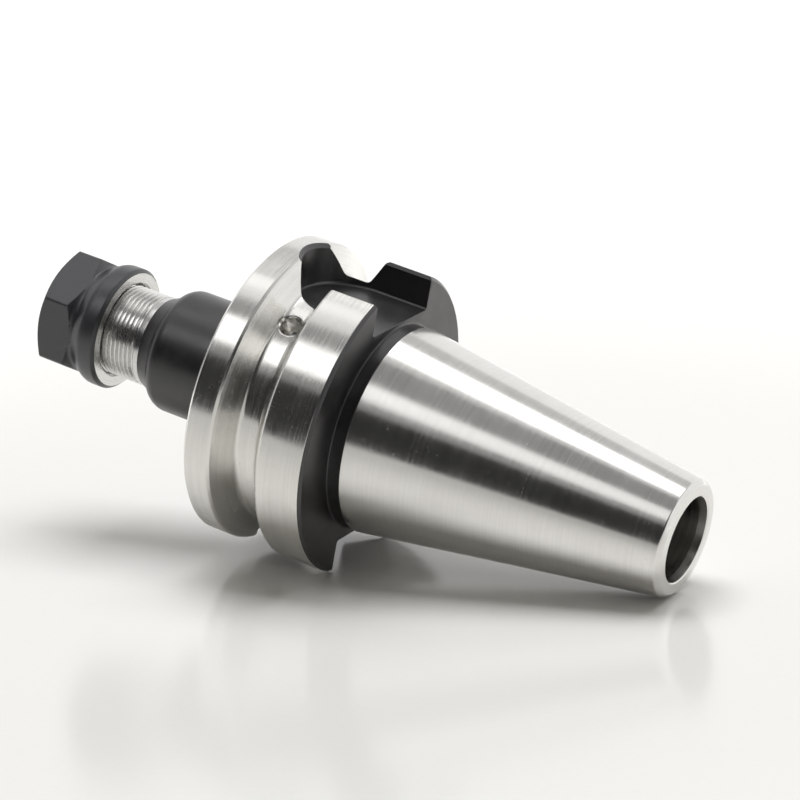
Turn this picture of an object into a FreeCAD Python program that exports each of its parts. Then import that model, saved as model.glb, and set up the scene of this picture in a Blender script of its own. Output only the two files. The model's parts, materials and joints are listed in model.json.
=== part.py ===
"""Collet chuck holder: a 7:24 spindle taper, a gripper flange, a collet nose and its clamping nut.

Every piece is drawn in the holder's own frame: local Z runs along the spindle axis towards the
nose, Z = 0 is the gauge line, and local X points through the middle of one drive slot. A Placement
then lays the piece down, nose raised, on the edges of the lower drive slot and the small end.
Lengths are millimetres and angles are degrees.
"""
import FreeCAD, Part
import math
import os
import re

import Sketcher

SHEET = "Sizes"
FULL_TURN = 360
SLOT_COUNT = 2
NUT_SIDES = 6

# alias, value, what it sets
SIZES = [
    ("gauge_dia", 31.75, "taper diameter at the gauge line"),
    ("taper_rise", 7.0, "taper ratio, change of diameter"),
    ("taper_run", 24.0, "taper ratio, over this length"),
    ("taper_length", 48.4, "gauge line to the small end"),
    ("small_end_chamfer", 0.7, "outer chamfer of the small end"),
    ("neck_length", 2.0, "gauge line to the flange's rear face"),
    ("neck_step", 0.2, "neck radius under the gauge radius"),
    ("neck_bevel", 0.35, "corner between the neck and the flange's rear face"),
    ("flange_dia", 46.0, "flange rims"),
    ("flange_width", 20.0, "rear face to front face"),
    ("flange_chamfer", 0.5, "outer edges of the flange"),
    ("groove_centre", 13.6, "gauge line to the middle of the gripper groove"),
    ("groove_width", 8.0, "gripper groove, width at the rims"),
    ("groove_angle", 30.0, "gripper groove, each flank from a radial plane"),
    ("groove_depth", 4.0, "gripper groove, rims to the root cylinder"),
    ("groove_edge_chamfer", 0.25, "gripper groove, edges at the rims"),
    ("slot_width", 16.1, "drive slots"),
    ("slot_floor", 16.3, "spindle axis to a drive slot's floor"),
    ("slot_arc_centre", 10.4, "gauge line to the centre of a slot's round end"),
    ("slot_floor_bevel", 0.4, "drive slots, floor corners"),
    ("slot_edge_chamfer", 0.6, "drive slots, outer edges"),
    ("balance_hole_dia", 3.2, "balance hole in the groove root"),
    ("balance_hole_sink", 0.3, "balance hole, countersink each side"),
    ("balance_hole_depth", 3.6, "balance hole, full-diameter depth"),
    ("balance_hole_roll", 37.0, "balance hole, angle back from the slot's middle"),
    ("drill_point", 59.0, "drill point, half angle"),
    ("nose_dia", 19.0, "nose cylinder"),
    ("nose_length", 16.5, "flange front face to the nose shoulder"),
    ("nose_round", 2.4, "rounded shoulder of the nose"),
    ("thread_dia", 14.0, "nose thread, outside"),
    ("thread_length", 12.1, "nose shoulder to the nose end face"),
    ("thread_chamfer", 0.4, "first turn of the nose thread"),
    ("thread_clearance", 0.05, "radial clearance of the nut on the thread"),
    ("pilot_dia", 12.5, "pilot bore for the pull stud"),
    ("pilot_depth", 7.0, "pilot bore, depth"),
    ("pilot_chamfer", 0.4, "pilot bore, mouth"),
    ("stud_core_dia", 10.3, "pull stud thread, core"),
    ("stud_drill_depth", 34.0, "pull stud thread, drilled depth from the small end"),
    ("shank_bore_dia", 7.2, "clearance bore behind the collet"),
    ("collet_length", 18.0, "collet, overall"),
    ("collet_dia", 11.5, "collet, largest diameter"),
    ("collet_angle", 8.0, "collet, rear cone half angle"),
    ("collet_face_dia", 9.4, "collet, front face"),
    ("collet_face_angle", 30.0, "collet, front cone half angle"),
    ("collet_front_land", 0.8, "collet, land in front of its groove"),
    ("collet_groove_dia", 9.5, "collet, extractor groove"),
    ("collet_groove_width", 1.5, "collet, extractor groove"),
    ("collet_rear_land", 0.6, "collet, land behind its groove"),
    ("collet_bore_dia", 6.0, "collet, tool bore"),
    ("collet_edge", 0.3, "collet, end chamfers"),
    ("collet_slit", 0.5, "collet, width of a slit"),
    ("collet_slits", 6.0, "collet, slits from each end"),
    ("collet_roll", 7.5, "collet, first slit's angle from the slot's middle"),
    ("collet_rear_web", 2.5, "collet, metal left behind the front slits"),
    ("collet_front_web", 3.4, "collet, metal left before the rear slits"),
    ("collet_seat_gap", 0.5, "collet, axial travel left before it seats"),
    ("collet_recess", 0.3, "collet front face behind the nut's front face"),
    ("socket_mouth", 0.4, "chamfer at the mouth of the collet socket"),
    ("socket_beyond", 1.5, "socket cone past the collet's rear end"),
    ("nut_grip", 3.8, "clamping nut, rear face to the nose end, on the thread"),
    ("nut_length", 10.7, "clamping nut, overall"),
    ("nut_collar_dia", 19.0, "clamping nut, round collar"),
    ("nut_collar_length", 3.3, "clamping nut, rear face to the end of the collar"),
    ("nut_rear_chamfer", 0.5, "clamping nut, rear edge"),
    ("nut_neck_length", 1.7, "clamping nut, slope from the collar to the flats"),
    ("nut_flats", 17.0, "clamping nut, across flats"),
    ("nut_roll", 3.6, "clamping nut, corner's angle back from the slot's middle"),
    ("nut_face_dia", 16.6, "clamping nut, front face"),
    ("nut_face_angle", 30.0, "clamping nut, front chamfer from the face"),
    ("nut_mouth_chamfer", 0.45, "clamping nut, rear mouth"),
    ("nut_lip_gap", 0.1, "extractor lip, axial clearance in the collet's groove"),
    ("nut_lip_dia", 11.2, "extractor lip, bore"),
    ("nut_lip_offset", 0.35, "extractor lip, eccentricity"),
    ("nut_cone_gap", 0.12, "nut cone, radial clearance over the collet's face cone"),
    ("nut_land_gap", 0.15, "nut recess, radial clearance over the collet's lands"),
    ("nut_opening_dia", 9.9, "clamping nut, front opening"),
    ("nut_opening_chamfer", 0.35, "clamping nut, front opening edge"),
    ("cut_margin", 1.0, "how far a cutter runs past the metal"),
]

# Sizes that follow from the ones above, as expressions of their aliases.
GAUGE_R = "gauge_dia / 2"
TAPER_SLOPE = "taper_rise / taper_run / 2"
SMALL_EDGE_R = f"({GAUGE_R} - (taper_length - small_end_chamfer) * {TAPER_SLOPE})"
NECK_R = f"({GAUGE_R} - neck_step)"
FLANGE_R = "flange_dia / 2"
FLANGE_FRONT = "(neck_length + flange_width)"
GROOVE_ROOT_R = f"({FLANGE_R} - groove_depth)"
GROOVE_REAR = "(groove_centre - groove_width / 2)"
GROOVE_FRONT = "(groove_centre + groove_width / 2)"
GROOVE_RUN = "(groove_depth * tan(groove_angle * 1 deg))"
GROOVE_EDGE_RUN = "groove_edge_chamfer * tan(groove_angle * 1 deg)"
SHOULDER = f"({FLANGE_FRONT} + nose_length)"
NOSE_END = f"({SHOULDER} + thread_length)"
THREAD_R = "thread_dia / 2"
COLLET_R = "collet_dia / 2"
FACE_CONE = f"(({COLLET_R} - collet_face_dia / 2) / tan(collet_face_angle * 1 deg))"
NUT_REAR = f"({NOSE_END} - nut_grip)"
NUT_FRONT = f"({NUT_REAR} + nut_length)"
COLLET_FRONT = f"({NUT_FRONT} - collet_recess)"
COLLET_REAR = f"({COLLET_FRONT} - collet_length)"
GROOVE_TOP = f"({COLLET_FRONT} - {FACE_CONE} - collet_front_land)"
GROOVE_BASE = f"({GROOVE_TOP} - collet_groove_width)"
CONE_TOP = f"({GROOVE_BASE} - collet_rear_land)"
COLLET_SLOPE = "tan(collet_angle * 1 deg)"
COLLET_TAIL_R = f"({COLLET_R} - ({CONE_TOP} - {COLLET_REAR}) * {COLLET_SLOPE})"
SOCKET_TOP_R = f"({COLLET_R} - ({CONE_TOP} - collet_seat_gap - {NOSE_END}) * {COLLET_SLOPE})"
SOCKET_BASE = f"({COLLET_REAR} - socket_beyond)"
SOCKET_BASE_R = f"({SOCKET_TOP_R} - ({NOSE_END} - {SOCKET_BASE}) * {COLLET_SLOPE})"
NUT_FLAT_TOP = f"({NUT_REAR} + nut_collar_length + nut_neck_length)"
NUT_CORNER_R = f"(nut_flats / 2 / cos({FULL_TURN / NUT_SIDES / 2} deg))"
NUT_BORE_R = f"({THREAD_R} + thread_clearance)"
SLOT_HALF = "slot_width / 2"

# How the holder lies: on the corners of the lower slot and on the rim of the small end.
REST_R = f"sqrt(({FLANGE_R}) ^ 2 - (slot_width / 2 + slot_edge_chamfer) ^ 2)"
REST_REAR = "(neck_length + flange_chamfer)"
REST_TAIL = "(taper_length - small_end_chamfer)"
TILT = f"atan(({REST_R} - {SMALL_EDGE_R}) / ({REST_REAR} + {REST_TAIL}))"

doc = FreeCAD.newDocument("collet_chuck_holder")
sheet = doc.addObject("Spreadsheet::Sheet", SHEET)
for row, (alias, size, meaning) in enumerate(SIZES, start=1):
    sheet.set(f"A{row}", meaning)
    sheet.set(f"B{row}", str(size))
    sheet.setAlias(f"B{row}", alias)
doc.recompute()
ALIASES = {alias for alias, _, _ in SIZES}


def bound(expression):
    """The expression with every alias written as a reference to the sheet."""
    return re.sub(r"[a-z_]+", lambda m: f"{SHEET}.{m[0]}" if m[0] in ALIASES else m[0], expression)


def value(expression):
    """The number that an expression of the sheet's aliases has now."""
    result = sheet.evalExpression(bound(expression))
    return float(getattr(result, "Value", result))


def origin_plane(body, role):
    return next(plane for plane in body.Origin.OriginFeatures if plane.Role == role)


def new_sketch(body, name, role="XZ_Plane"):
    sketch = body.newObject("Sketcher::SketchObject", name)
    sketch.AttachmentSupport = [(origin_plane(body, role), "")]
    sketch.MapMode = "FlatFace"
    return sketch


def pin(sketch, geometry, end, across, along):
    """Ties a point to the sketch's origin by two dimensions bound to the sheet."""
    for kind, expression in (("DistanceX", across), ("DistanceY", along)):
        dimension = Sketcher.Constraint(kind, -1, 1, geometry, end, value(expression))
        number = sketch.addConstraint(dimension)
        sketch.setExpression(f"Constraints[{number}]", bound(expression))


def outline(sketch, corners):
    """Draws a closed outline of straight lines through corners given as expressions."""
    points = [FreeCAD.Vector(value(across), value(along), 0) for across, along in corners]
    first = sketch.GeometryCount
    count = len(points)
    for number, point in enumerate(points):
        sketch.addGeometry(Part.LineSegment(point, points[(number + 1) % count]), False)
    for number in range(count):
        following = first + (number + 1) % count
        sketch.addConstraint(Sketcher.Constraint("Coincident", first + number, 2, following, 1))
    for number, (across, along) in enumerate(corners):
        pin(sketch, first + number, 1, across, along)


def turned(body, kind, name, corners):
    """Revolves a half section, given as (radius, height) corners, about the spindle axis."""
    sketch = new_sketch(body, name + "_section")
    outline(sketch, corners)
    feature = body.newObject(f"PartDesign::{kind}", name)
    feature.Profile = sketch
    feature.ReferenceAxis = (sketch, ["V_Axis"])
    feature.Angle = FULL_TURN
    doc.recompute()
    return feature


def edges_where(shape, test):
    """Names of the edges whose every sampled point passes the test."""
    names = []
    for number, edge in enumerate(shape.Edges, start=1):
        if all(test(point) for point in edge.discretize(9)):
            names.append(f"Edge{number}")
    return names


def circles_at(shape, radius, height):
    """Names of the edges that run round the spindle axis at this radius and height."""
    def on_circle(point):
        return near(point.z, value(height)) and near(radial(point), value(radius))
    return edges_where(shape, on_circle)


def radial(point):
    return (point.x ** 2 + point.y ** 2) ** 0.5


def near(first, second, reach=1e-4):
    return abs(first - second) < reach


def dress(body, kind, name, edges, size):
    """Adds a fillet or a chamfer of a bound size to named edges of the body's tip."""
    carrier = body.Tip
    feature = body.newObject(f"PartDesign::{kind}", name)
    feature.Base = (carrier, edges)
    dimension = "Radius" if kind == "Fillet" else "Size"
    feature.setExpression(dimension, bound(size))
    doc.recompute()
    return feature


def lay_down(body):
    """Tips the spindle axis over, about the gauge line's centre, into the resting pose."""
    body.Placement = FreeCAD.Placement(FreeCAD.Vector(), FreeCAD.Rotation(FreeCAD.Vector(0, -1, 0), 1))
    body.setExpression("Placement.Rotation.Angle", bound(f"90 deg - {TILT}"))


def add_holder_body():
    body = doc.addObject("PartDesign::Body", "HolderBody")
    body.Label = "holder_body"
    turned(body, "Revolution", "blank", [
        ("0", "-taper_length"),
        (f"{SMALL_EDGE_R} - small_end_chamfer", "-taper_length"),
        (SMALL_EDGE_R, "small_end_chamfer - taper_length"),
        (f"{GAUGE_R} - neck_step * {TAPER_SLOPE}", "-neck_step"),
        (NECK_R, "0"),
        (NECK_R, "neck_length - neck_bevel"),
        (f"{NECK_R} + neck_bevel", "neck_length"),
        (f"{FLANGE_R} - flange_chamfer", "neck_length"),
        (FLANGE_R, "neck_length + flange_chamfer"),
        (FLANGE_R, f"{FLANGE_FRONT} - flange_chamfer"),
        (f"{FLANGE_R} - flange_chamfer", FLANGE_FRONT),
        ("nose_dia / 2", FLANGE_FRONT),
        ("nose_dia / 2", SHOULDER),
        (THREAD_R, SHOULDER),
        (THREAD_R, f"{NOSE_END} - thread_chamfer"),
        (f"{THREAD_R} - thread_chamfer", NOSE_END),
        ("0", NOSE_END),
    ])
    turned(body, "Groove", "gripper_groove", [
        (f"{FLANGE_R} + cut_margin", f"{GROOVE_REAR} - groove_edge_chamfer"),
        (FLANGE_R, f"{GROOVE_REAR} - groove_edge_chamfer"),
        (f"{FLANGE_R} - groove_edge_chamfer", f"{GROOVE_REAR} + {GROOVE_EDGE_RUN}"),
        (GROOVE_ROOT_R, f"{GROOVE_REAR} + {GROOVE_RUN}"),
        (GROOVE_ROOT_R, f"{GROOVE_FRONT} - {GROOVE_RUN}"),
        (f"{FLANGE_R} - groove_edge_chamfer", f"{GROOVE_FRONT} - {GROOVE_EDGE_RUN}"),
        (FLANGE_R, f"{GROOVE_FRONT} + groove_edge_chamfer"),
        (f"{FLANGE_R} + cut_margin", f"{GROOVE_FRONT} + groove_edge_chamfer"),
    ])
    turned(body, "Groove", "spindle_bore", [
        ("0", "-taper_length - cut_margin"),
        ("pilot_dia / 2 + pilot_chamfer", "-taper_length - cut_margin"),
        ("pilot_dia / 2 + pilot_chamfer", "-taper_length"),
        ("pilot_dia / 2", "pilot_chamfer - taper_length"),
        ("pilot_dia / 2", "pilot_depth - taper_length"),
        ("stud_core_dia / 2", "pilot_depth + (pilot_dia - stud_core_dia) / 2 - taper_length"),
        ("stud_core_dia / 2", "stud_drill_depth - taper_length"),
        ("shank_bore_dia / 2", "stud_drill_depth - taper_length"
         " + (stud_core_dia - shank_bore_dia) / 2 / tan(drill_point * 1 deg)"),
        ("shank_bore_dia / 2", SOCKET_BASE),
        (SOCKET_BASE_R, SOCKET_BASE),
        (f"{SOCKET_TOP_R} - socket_mouth * {COLLET_SLOPE}", f"{NOSE_END} - socket_mouth"),
        (f"{SOCKET_TOP_R} + socket_mouth", NOSE_END),
        (f"{SOCKET_TOP_R} + socket_mouth", f"{NOSE_END} + cut_margin"),
        ("0", f"{NOSE_END} + cut_margin"),
    ])
    dress(body, "Fillet", "nose_shoulder", circles_at(body.Shape, "nose_dia / 2", SHOULDER), "nose_round")
    add_drive_slots(body)
    add_balance_hole(body)
    return body


def add_drive_slots(body):
    """Two slots milled in from the rear face, each ending in the round of its end mill."""
    sketch = new_sketch(body, "drive_slot_section", "YZ_Plane")
    sketch.setExpression("AttachmentOffset.Base.z", bound("slot_floor"))
    half = value(SLOT_HALF)
    start = value("-cut_margin")
    centre = value("slot_arc_centre")
    corners = [(-half, centre), (-half, start), (half, start), (half, centre)]
    points = [FreeCAD.Vector(across, along, 0) for across, along in corners]
    for first, second in zip(points, points[1:]):
        sketch.addGeometry(Part.LineSegment(first, second), False)
    circle = Part.Circle(FreeCAD.Vector(0, centre, 0), FreeCAD.Vector(0, 0, 1), half)
    sketch.addGeometry(Part.ArcOfCircle(circle, 0, math.pi), False)
    for joined in ((0, 2, 1, 1), (1, 2, 2, 1), (2, 2, 3, 1), (3, 2, 0, 1)):
        sketch.addConstraint(Sketcher.Constraint("Coincident", *joined))
    pin(sketch, 0, 1, f"-{SLOT_HALF}", "slot_arc_centre")
    pin(sketch, 1, 1, f"-{SLOT_HALF}", "-cut_margin")
    pin(sketch, 2, 1, SLOT_HALF, "-cut_margin")
    pin(sketch, 2, 2, SLOT_HALF, "slot_arc_centre")
    round_end = Sketcher.Constraint("DistanceY", -1, 1, 3, 3, centre)
    number = sketch.addConstraint(round_end)
    sketch.setExpression(f"Constraints[{number}]", bound("slot_arc_centre"))
    slot = body.newObject("PartDesign::Pocket", "drive_slot")
    slot.Profile = sketch
    slot.Reversed = True
    slot.setExpression("Length", bound(f"{FLANGE_R} + cut_margin - slot_floor"))
    doc.recompute()
    pair = body.newObject("PartDesign::PolarPattern", "drive_slots")
    pair.Originals = [slot]
    pair.Axis = (origin_axis(body, "Z_Axis"), [""])
    pair.Angle = FULL_TURN
    pair.Occurrences = SLOT_COUNT
    body.Tip = pair
    doc.recompute()

    def on_slot_rim(point):
        inside = abs(point.y) < value(SLOT_HALF) + 1e-3
        return inside and near(radial(point), value(FLANGE_R))

    def on_slot_floor(point):
        return near(abs(point.x), value("slot_floor")) and point.z > value("neck_length") - 1e-3

    dress(body, "Chamfer", "slot_edges", edges_where(body.Shape, on_slot_rim), "slot_edge_chamfer")
    walls = [name for name in edges_where(body.Shape, on_slot_floor) if touches_wall(body, name)]
    dress(body, "Chamfer", "slot_floor_corners", walls, "slot_floor_bevel")


def origin_axis(body, role):
    return next(axis for axis in body.Origin.OriginFeatures if axis.Role == role)


def touches_wall(body, name):
    """True for a floor edge that runs along a slot's side or round its end."""
    edge = body.Shape.getElement(name)
    centre = FreeCAD.Vector(0, 0, value("slot_arc_centre"))

    def on_wall(point):
        beyond = point.z > centre.z
        reach = (point.y ** 2 + (point.z - centre.z) ** 2) ** 0.5 if beyond else abs(point.y)
        return near(reach, value(SLOT_HALF), 1e-3)
    return all(on_wall(point) for point in edge.discretize(5))


def add_balance_hole(body):
    """A blind hole drilled square into the groove's root, with a countersunk mouth."""
    sketch = new_sketch(body, "balance_hole_section")
    sketch.AttachmentOffset = FreeCAD.Placement(
        FreeCAD.Vector(), FreeCAD.Rotation(FreeCAD.Vector(0, -1, 0), 1))
    sketch.setExpression("AttachmentOffset.Rotation.Angle", bound("balance_hole_roll * 1 deg"))
    hole_r = "balance_hole_dia / 2"
    floor = f"{GROOVE_ROOT_R} - balance_hole_depth"
    outline(sketch, [
        (f"{floor} - {hole_r} / tan(drill_point * 1 deg)", "groove_centre"),
        (floor, f"groove_centre + {hole_r}"),
        (f"{GROOVE_ROOT_R} - balance_hole_sink", f"groove_centre + {hole_r}"),
        (GROOVE_ROOT_R, f"groove_centre + {hole_r} + balance_hole_sink"),
        (FLANGE_R, f"groove_centre + {hole_r} + balance_hole_sink"),
        (FLANGE_R, "groove_centre"),
    ])
    hole = body.newObject("PartDesign::Groove", "balance_hole")
    hole.Profile = sketch
    hole.ReferenceAxis = (sketch, [f"Edge{sketch.GeometryCount}"])
    hole.Angle = FULL_TURN
    doc.recompute()


def add_spring_collet():
    body = doc.addObject("PartDesign::Body", "SpringCollet")
    body.Label = "spring_collet"
    turned(body, "Revolution", "collet_blank", [
        ("0", COLLET_REAR),
        (f"{COLLET_TAIL_R} - collet_edge", COLLET_REAR),
        (f"{COLLET_TAIL_R} + collet_edge * {COLLET_SLOPE}", f"{COLLET_REAR} + collet_edge"),
        (COLLET_R, CONE_TOP),
        (COLLET_R, GROOVE_BASE),
        ("collet_groove_dia / 2", GROOVE_BASE),
        ("collet_groove_dia / 2", GROOVE_TOP),
        (COLLET_R, GROOVE_TOP),
        (COLLET_R, f"{GROOVE_TOP} + collet_front_land"),
        ("collet_face_dia / 2", COLLET_FRONT),
        ("0", COLLET_FRONT),
    ])
    turned(body, "Groove", "tool_bore", [
        ("0", f"{COLLET_REAR} - cut_margin"),
        ("collet_bore_dia / 2", f"{COLLET_REAR} - cut_margin"),
        ("collet_bore_dia / 2", f"{COLLET_FRONT} - collet_edge"),
        ("collet_bore_dia / 2 + collet_edge", COLLET_FRONT),
        ("collet_bore_dia / 2 + collet_edge", f"{COLLET_FRONT} + cut_margin"),
        ("0", f"{COLLET_FRONT} + cut_margin"),
    ])
    spacing = f"{FULL_TURN} deg / collet_slits"
    add_slits(body, "front_slits", f"{COLLET_REAR} + collet_rear_web",
              f"{COLLET_FRONT} + cut_margin", "collet_roll * 1 deg")
    add_slits(body, "rear_slits", f"{COLLET_REAR} - cut_margin",
              f"{COLLET_FRONT} - collet_front_web", f"collet_roll * 1 deg + {spacing} / 2")
    return body


def add_slits(body, name, low, high, roll):
    """A ring of slits through the collet's wall, from low to high along the axis."""
    sketch = new_sketch(body, name + "_section", "XY_Plane")
    sketch.setExpression("AttachmentOffset.Base.z", bound(low))
    sketch.setExpression("AttachmentOffset.Rotation.Angle", bound(roll))
    outline(sketch, [
        ("0", "-collet_slit / 2"),
        (f"{COLLET_R} + cut_margin", "-collet_slit / 2"),
        (f"{COLLET_R} + cut_margin", "collet_slit / 2"),
        ("0", "collet_slit / 2"),
    ])
    slit = body.newObject("PartDesign::Pocket", name + "_first")
    slit.Profile = sketch
    slit.Reversed = True
    slit.setExpression("Length", bound(f"{high} - {low}"))
    doc.recompute()
    ring = body.newObject("PartDesign::PolarPattern", name)
    ring.Originals = [slit]
    ring.Axis = (origin_axis(body, "Z_Axis"), [""])
    ring.Angle = FULL_TURN
    ring.setExpression("Occurrences", bound("collet_slits"))
    body.Tip = ring
    doc.recompute()


def add_clamping_nut():
    body = doc.addObject("PartDesign::Body", "ClampingNut")
    body.Label = "clamping_nut"
    turned(body, "Revolution", "nut_collar", [
        ("0", NUT_REAR),
        ("nut_collar_dia / 2 - nut_rear_chamfer", NUT_REAR),
        ("nut_collar_dia / 2", f"{NUT_REAR} + nut_rear_chamfer"),
        ("nut_collar_dia / 2", f"{NUT_REAR} + nut_collar_length"),
        ("nut_flats / 2", NUT_FLAT_TOP),
        ("nut_flats / 2", NUT_FRONT),
        ("0", NUT_FRONT),
    ])
    add_hexagon(body)
    outside_r = f"({NUT_CORNER_R} + cut_margin)"
    turned(body, "Groove", "nut_front_chamfer", [
        ("nut_face_dia / 2", NUT_FRONT),
        (outside_r, f"{NUT_FRONT} - ({outside_r} - nut_face_dia / 2) * tan(nut_face_angle * 1 deg)"),
        (outside_r, NUT_FRONT),
    ])
    lip_rear = f"({GROOVE_BASE} + nut_lip_gap)"
    lip_front = f"({GROOVE_TOP} - nut_lip_gap)"
    recess_r = f"({COLLET_R} + nut_land_gap)"
    cone_rear = f"({COLLET_FRONT} - ({recess_r} - nut_cone_gap - collet_face_dia / 2)" \
                " / tan(collet_face_angle * 1 deg))"
    cone_front = f"({COLLET_FRONT} - (nut_opening_dia / 2 - nut_cone_gap - collet_face_dia / 2)" \
                 " / tan(collet_face_angle * 1 deg))"
    turned(body, "Groove", "nut_thread_bore", [
        ("0", f"{NUT_REAR} - cut_margin"),
        (f"{NUT_BORE_R} + nut_mouth_chamfer", f"{NUT_REAR} - cut_margin"),
        (f"{NUT_BORE_R} + nut_mouth_chamfer", NUT_REAR),
        (NUT_BORE_R, f"{NUT_REAR} + nut_mouth_chamfer"),
        (NUT_BORE_R, lip_rear),
        ("0", lip_rear),
    ])
    turned(body, "Groove", "nut_face_cone", [
        ("0", lip_front),
        (recess_r, lip_front),
        (recess_r, cone_rear),
        ("nut_opening_dia / 2", cone_front),
        ("nut_opening_dia / 2", f"{NUT_FRONT} - nut_opening_chamfer"),
        ("nut_opening_dia / 2 + nut_opening_chamfer", NUT_FRONT),
        ("nut_opening_dia / 2 + nut_opening_chamfer", f"{NUT_FRONT} + cut_margin"),
        ("0", f"{NUT_FRONT} + cut_margin"),
    ])
    add_extractor_lip(body, lip_rear, lip_front)
    return body


def add_hexagon(body):
    sketch = new_sketch(body, "nut_hexagon_section", "XY_Plane")
    sketch.setExpression("AttachmentOffset.Base.z", bound(NUT_FLAT_TOP))
    sketch.setExpression("AttachmentOffset.Rotation.Angle", bound("-nut_roll * 1 deg"))
    turns = [f"{FULL_TURN / NUT_SIDES * number} deg" for number in range(NUT_SIDES)]
    outline(sketch, [(f"{NUT_CORNER_R} * cos({turn})", f"{NUT_CORNER_R} * sin({turn})") for turn in turns])
    hexagon = body.newObject("PartDesign::Pad", "nut_hexagon")
    hexagon.Profile = sketch
    hexagon.setExpression("Length", bound(f"{NUT_FRONT} - {NUT_FLAT_TOP}"))
    doc.recompute()


def add_extractor_lip(body, low, high):
    """The lip's bore is eccentric, so a tilted collet snaps past it on one side."""
    sketch = new_sketch(body, "extractor_lip_section", "XY_Plane")
    sketch.setExpression("AttachmentOffset.Base.z", bound(low))
    centre = FreeCAD.Vector(value("nut_lip_offset"), 0, 0)
    sketch.addGeometry(Part.Circle(centre, FreeCAD.Vector(0, 0, 1), value("nut_lip_dia / 2")), False)
    pin(sketch, 0, 3, "nut_lip_offset", "0")
    radius = sketch.addConstraint(Sketcher.Constraint("Radius", 0, value("nut_lip_dia / 2")))
    sketch.setExpression(f"Constraints[{radius}]", bound("nut_lip_dia / 2"))
    lip = body.newObject("PartDesign::Pocket", "extractor_lip")
    lip.Profile = sketch
    lip.Reversed = True
    lip.setExpression("Length", bound(f"{high} - {low}"))
    doc.recompute()


def check(parts):
    """Stops before anything is written if a feature failed or a solid is broken."""
    for item in doc.Objects:
        if "Invalid" in item.State or "Error" in item.State:
            raise RuntimeError(f"{item.Name} failed: {item.State}")
    for body in parts:
        shape = body.Shape
        if shape.isNull() or not shape.isValid() or len(shape.Solids) != 1:
            raise RuntimeError(f"{body.Label} isn't one valid solid")


parts = [add_holder_body(), add_spring_collet(), add_clamping_nut()]
for part in parts:
    lay_down(part)
doc.recompute()
check(parts)
os.makedirs("parts", exist_ok=True)
for part in parts:
    part.Shape.exportStep(f"parts/{part.Label}.step")
    print(part.Label, "volume", round(part.Shape.Volume, 3))
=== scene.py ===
"""Looks of the collet chuck holder: ground steel, black oxide, cut threads, and a studio to see them in.

Pieces are modelled in the holder's own frame: Z runs along the spindle axis towards the nose, zero
at the gauge line, and X points through the middle of the upper drive slot. Sections and sizes are
written in millimetres, and every mesh is made in metres.
"""
import bmesh
import bpy
import json
import math
from mathutils import Matrix, Vector


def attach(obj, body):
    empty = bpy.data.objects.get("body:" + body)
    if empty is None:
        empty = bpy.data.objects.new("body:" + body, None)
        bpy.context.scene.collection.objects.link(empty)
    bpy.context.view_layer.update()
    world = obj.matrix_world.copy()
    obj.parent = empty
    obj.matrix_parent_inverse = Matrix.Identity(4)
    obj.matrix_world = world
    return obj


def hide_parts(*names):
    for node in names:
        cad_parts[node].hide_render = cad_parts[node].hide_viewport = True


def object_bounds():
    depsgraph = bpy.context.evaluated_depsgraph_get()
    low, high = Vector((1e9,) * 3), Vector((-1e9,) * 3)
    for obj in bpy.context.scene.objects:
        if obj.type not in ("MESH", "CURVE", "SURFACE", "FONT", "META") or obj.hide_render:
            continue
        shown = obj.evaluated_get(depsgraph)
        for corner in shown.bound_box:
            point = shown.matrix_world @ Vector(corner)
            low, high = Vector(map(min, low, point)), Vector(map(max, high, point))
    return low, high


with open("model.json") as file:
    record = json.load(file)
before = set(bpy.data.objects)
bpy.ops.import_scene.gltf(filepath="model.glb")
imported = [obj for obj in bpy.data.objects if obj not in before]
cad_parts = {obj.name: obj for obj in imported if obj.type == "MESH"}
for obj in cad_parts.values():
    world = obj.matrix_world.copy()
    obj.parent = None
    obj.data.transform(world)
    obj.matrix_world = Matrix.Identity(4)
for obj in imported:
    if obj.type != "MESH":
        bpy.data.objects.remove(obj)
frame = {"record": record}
cad_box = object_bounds()

MM = 0.001
FULL_TURN = 2 * math.pi
mounts = {mount["name"]: mount for mount in frame["record"]["mounts"]}
nose_way = -Vector(mounts["spindle_taper"]["axis"]).normalized()
slot_way = Vector(mounts["drive_slot_upper"]["axis"]).normalized()
gauge_centre = Vector(mounts["spindle_taper"]["pos_m"])
TOOL_FRAME = Matrix((slot_way, nose_way.cross(slot_way), nose_way)).transposed().to_4x4()
TOOL_FRAME.translation = gauge_centre


def height_of(mount):
    """A mount's height above the gauge line, in millimetres."""
    return (Vector(mounts[mount]["pos_m"]) - gauge_centre).dot(nose_way) / MM


# Holder
GAUGE_R = 15.875
TAPER_SLOPE = 7 / 48
TAPER_LENGTH = 48.4
TAIL_CHAMFER = 0.7
TAIL_R = GAUGE_R - (TAPER_LENGTH - TAIL_CHAMFER) * TAPER_SLOPE
NECK_R = 15.675
NECK_LENGTH = 2.0
FLANGE_R = 23.0
FLANGE_FRONT = 22.0
RIM_CHAMFER = 0.5
GROOVE_CENTRE = height_of("gripper_groove")
GROOVE_HALF = 4.0
GROOVE_DEPTH = 4.0
GROOVE_ROOT_R = FLANGE_R - GROOVE_DEPTH
GROOVE_RUN = GROOVE_DEPTH * math.tan(math.radians(30))
NOSE_R = 9.5
SHOULDER = 38.5
NOSE_ROUND = 2.4
SHOULDER_EDGE_R, SHOULDER_EDGE = 7.94, SHOULDER - 0.15
SHOULDER_MEET = SHOULDER - 0.733
BLACK_END_R, BLACK_END = 7.06, SHOULDER + 1.85
THREAD_R = 7.0
THREAD_PITCH = 0.75
THREAD_START = 41.3
NOSE_END = 50.6
PILOT_R = mounts["pull_stud_pilot"]["dims"]["r_mm"]
PILOT_DEPTH = 7.0
STUD_CORE_R = mounts["pull_stud_thread"]["dims"]["r_mm"]
STUD_THREAD_R = 6.0
STUD_PITCH = 1.75
STUD_DEPTH = 34.0
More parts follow.
